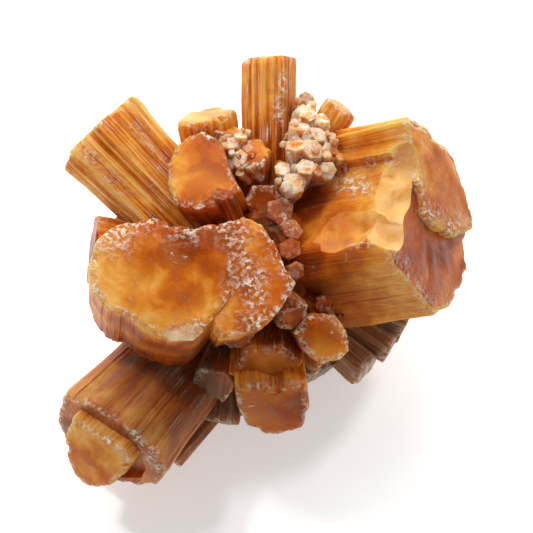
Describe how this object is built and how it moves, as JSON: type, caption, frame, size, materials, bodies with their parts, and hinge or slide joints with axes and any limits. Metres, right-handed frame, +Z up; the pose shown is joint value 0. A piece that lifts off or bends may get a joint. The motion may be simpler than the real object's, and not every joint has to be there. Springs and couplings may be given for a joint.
{
  "type": "aragonite crystal cluster",
  "caption": "Free-standing cluster of stout six-sided aragonite prisms grown outwards from one heart, honey to orange-brown and waxy.",
  "frame": {"origin": "middle of the cluster's footprint, on the surface it lies on", "axes": "+Z up; the side that the picture shows at the front faces -Y, and the widest block of crystal points to +X"},
  "size_m": [0.0438, 0.0434, 0.0299],
  "materials": {
    "aragonite_cluster": "waxy to glassy, cloudy and partly translucent"
  },
  "bodies": {
    "root": {"aragonite_cluster": "aragonite_cluster"}
  },
  "joints": []
}
